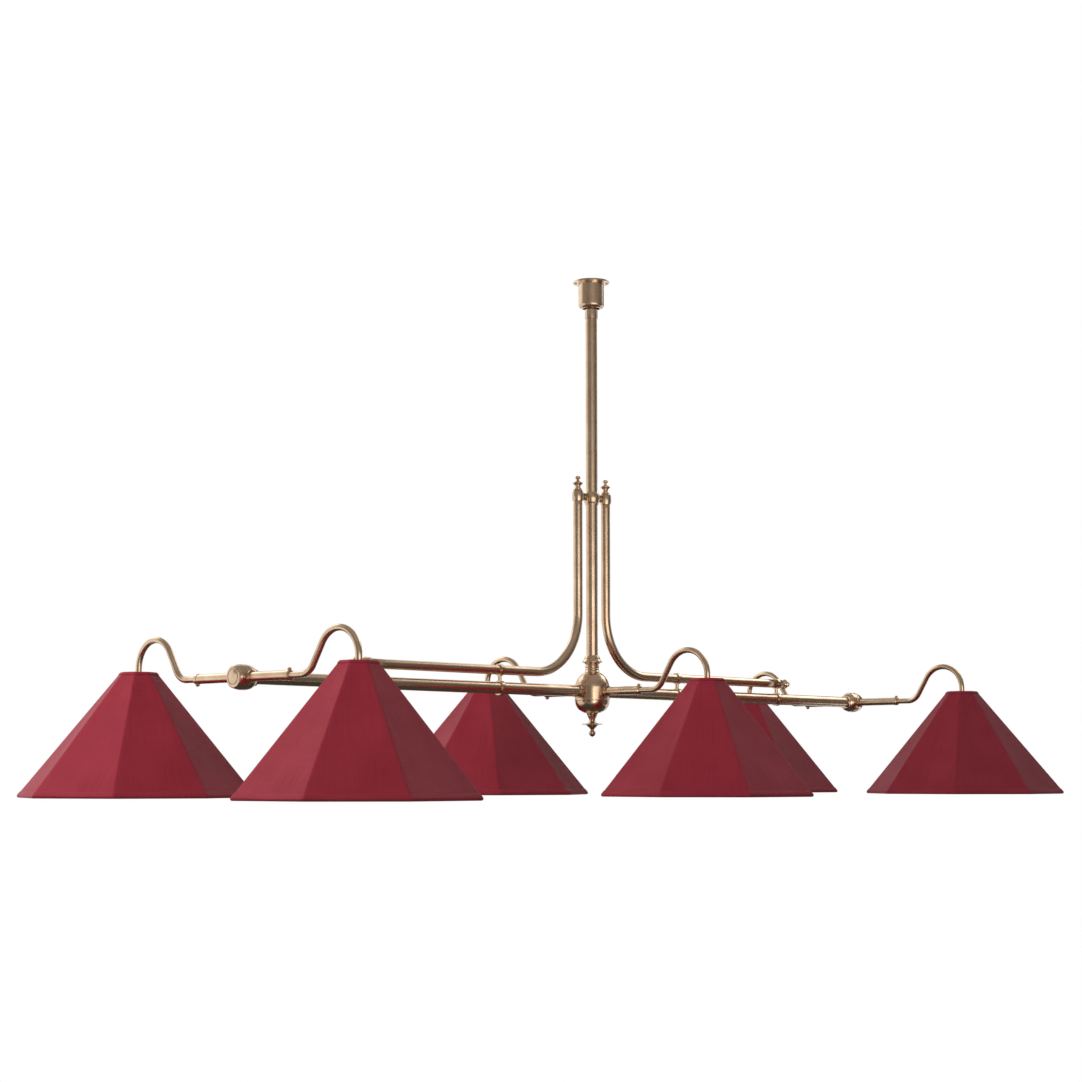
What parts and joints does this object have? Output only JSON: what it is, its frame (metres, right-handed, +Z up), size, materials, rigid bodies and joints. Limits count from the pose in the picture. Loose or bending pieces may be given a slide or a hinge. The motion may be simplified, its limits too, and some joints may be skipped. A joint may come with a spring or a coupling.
{
  "type": "pool table lamp",
  "caption": "Long brass pendant frame on a central stem with braced rails and goosenecks, carrying two rows of octagonal burgundy satin shades over a pool table.",
  "frame": {"origin": "centre of the ceiling plate's top face", "axes": "+X along the main rail, +Y across the lamp, +Z up towards the ceiling"},
  "size_m": [2.6479, 1.2236, 1.253],
  "materials": {
    "antique_brass": "satin bronze-coloured brass",
    "turned_brass": "darkened turned brass",
    "plain_brass": "plain machined brass",
    "holder_brass": "drawn brass",
    "fibre_washer": "matt fibre",
    "bulb_glass": "frosted glass",
    "frame_wire": "white lacquered wire",
    "shade_satin": "burgundy satin with lining"
  },
  "bodies": {
    "ceiling": {"ceiling_plate": "plain_brass", "ceiling_cup": "antique_brass", "cup_screws": "antique_brass", "swivel_socket": "plain_brass"},
    "swivel_seat": {"seat_washer": "fibre_washer"},
    "lamp_frame": {"swivel_ball": "plain_brass", "stem_coupler": "antique_brass", "stem_tube": "antique_brass", "yoke_clamp": "antique_brass", "yoke_screws": "antique_brass", "brace_left": "antique_brass", "brace_right": "antique_brass", "brace_finials": "turned_brass", "rail_links": "antique_brass", "ball_neck": "antique_brass", "ball_upper_shell": "antique_brass", "ball_lower_shell": "antique_brass", "junction_block": "plain_brass", "bottom_finial": "turned_brass", "rails": "antique_brass", "end_hubs": "antique_brass", "end_caps": "antique_brass", "arm_tubes": "antique_brass", "arm_collars": "antique_brass"},
    "neck_1": {"gooseneck_1": "antique_brass", "lampholder_1": "holder_brass", "bulb_1": "bulb_glass"},
    "turning_shade_1": {"shade_frame_1": "frame_wire", "shade_1": "shade_satin"},
    "clamp_knob_1": {"knob_1": "turned_brass"},
    "neck_2": {"gooseneck_2": "antique_brass", "lampholder_2": "holder_brass", "bulb_2": "bulb_glass"},
    "turning_shade_2": {"shade_frame_2": "frame_wire", "shade_2": "shade_satin"},
    "clamp_knob_2": {"knob_2": "turned_brass"},
    "neck_3": {"gooseneck_3": "antique_brass", "lampholder_3": "holder_brass", "bulb_3": "bulb_glass"},
    "turning_shade_3": {"shade_frame_3": "frame_wire", "shade_3": "shade_satin"},
    "clamp_knob_3": {"knob_3": "turned_brass"},
    "neck_4": {"gooseneck_4": "antique_brass", "lampholder_4": "holder_brass", "bulb_4": "bulb_glass"},
    "turning_shade_4": {"shade_frame_4": "frame_wire", "shade_4": "shade_satin"},
    "clamp_knob_4": {"knob_4": "turned_brass"},
    "neck_5": {"gooseneck_5": "antique_brass", "lampholder_5": "holder_brass", "bulb_5": "bulb_glass"},
    "turning_shade_5": {"shade_frame_5": "frame_wire", "shade_5": "shade_satin"},
    "clamp_knob_5": {"knob_5": "turned_brass"},
    "neck_6": {"gooseneck_6": "antique_brass", "lampholder_6": "holder_brass", "bulb_6": "bulb_glass"},
    "turning_shade_6": {"shade_frame_6": "frame_wire", "shade_6": "shade_satin"},
    "clamp_knob_6": {"knob_6": "turned_brass"}
  },
  "joints": [
    {"name": "swing_cross", "type": "hinge", "parent": "ceiling", "child": "swivel_seat", "pos_m": [0, 0, -0.044], "axis": [1, 0, 0], "range_deg": [-7, 7]},
    {"name": "swing_long", "type": "hinge", "parent": "swivel_seat", "child": "lamp_frame", "pos_m": [0, 0, -0.044], "axis": [0, 1, 0], "range_deg": [-7, 7]},
    {"name": "neck_swivel_1", "type": "hinge", "parent": "lamp_frame", "child": "neck_1", "pos_m": [-1.07, 0.143, -1.006], "axis": [0, 1, 0], "range_deg": [-20, 20]},
    {"name": "shade_turn_1", "type": "hinge", "parent": "neck_1", "child": "turning_shade_1", "pos_m": [-1.07, 0.356, -1.006], "axis": [0, 0, 1], "continuous": true},
    {"name": "knob_turn_1", "type": "hinge", "parent": "lamp_frame", "child": "clamp_knob_1", "pos_m": [-1.07, 0.1485, -1.006], "axis": [0, 0, -1], "range_deg": [0, 540]},
    {"name": "neck_swivel_2", "type": "hinge", "parent": "lamp_frame", "child": "neck_2", "pos_m": [-1.07, -0.143, -1.006], "axis": [0, -1, 0], "range_deg": [-20, 20]},
    {"name": "shade_turn_2", "type": "hinge", "parent": "neck_2", "child": "turning_shade_2", "pos_m": [-1.07, -0.356, -1.006], "axis": [0, 0, 1], "continuous": true},
    {"name": "knob_turn_2", "type": "hinge", "parent": "lamp_frame", "child": "clamp_knob_2", "pos_m": [-1.07, -0.1485, -1.006], "axis": [0, 0, 1], "range_deg": [0, 540]},
    {"name": "neck_swivel_3", "type": "hinge", "parent": "lamp_frame", "child": "neck_3", "pos_m": [0, 0.143, -1.006], "axis": [0, 1, 0], "range_deg": [-20, 20]},
    {"name": "shade_turn_3", "type": "hinge", "parent": "neck_3", "child": "turning_shade_3", "pos_m": [0, 0.356, -1.006], "axis": [0, 0, 1], "continuous": true},
    {"name": "knob_turn_3", "type": "hinge", "parent": "lamp_frame", "child": "clamp_knob_3", "pos_m": [0, 0.1485, -1.006], "axis": [0, 0, -1], "range_deg": [0, 540]},
    {"name": "neck_swivel_4", "type": "hinge", "parent": "lamp_frame", "child": "neck_4", "pos_m": [0, -0.143, -1.006], "axis": [0, -1, 0], "range_deg": [-20, 20]},
    {"name": "shade_turn_4", "type": "hinge", "parent": "neck_4", "child": "turning_shade_4", "pos_m": [0, -0.356, -1.006], "axis": [0, 0, 1], "continuous": true},
    {"name": "knob_turn_4", "type": "hinge", "parent": "lamp_frame", "child": "clamp_knob_4", "pos_m": [0, -0.1485, -1.006], "axis": [0, 0, 1], "range_deg": [0, 540]},
    {"name": "neck_swivel_5", "type": "hinge", "parent": "lamp_frame", "child": "neck_5", "pos_m": [1.07, 0.143, -1.006], "axis": [0, 1, 0], "range_deg": [-20, 20]},
    {"name": "shade_turn_5", "type": "hinge", "parent": "neck_5", "child": "turning_shade_5", "pos_m": [1.07, 0.356, -1.006], "axis": [0, 0, 1], "continuous": true},
    {"name": "knob_turn_5", "type": "hinge", "parent": "lamp_frame", "child": "clamp_knob_5", "pos_m": [1.07, 0.1485, -1.006], "axis": [0, 0, -1], "range_deg": [0, 540]},
    {"name": "neck_swivel_6", "type": "hinge", "parent": "lamp_frame", "child": "neck_6", "pos_m": [1.07, -0.143, -1.006], "axis": [0, -1, 0], "range_deg": [-20, 20]},
    {"name": "shade_turn_6", "type": "hinge", "parent": "neck_6", "child": "turning_shade_6", "pos_m": [1.07, -0.356, -1.006], "axis": [0, 0, 1], "continuous": true},
    {"name": "knob_turn_6", "type": "hinge", "parent": "lamp_frame", "child": "clamp_knob_6", "pos_m": [1.07, -0.1485, -1.006], "axis": [0, 0, 1], "range_deg": [0, 540]}
  ]
}
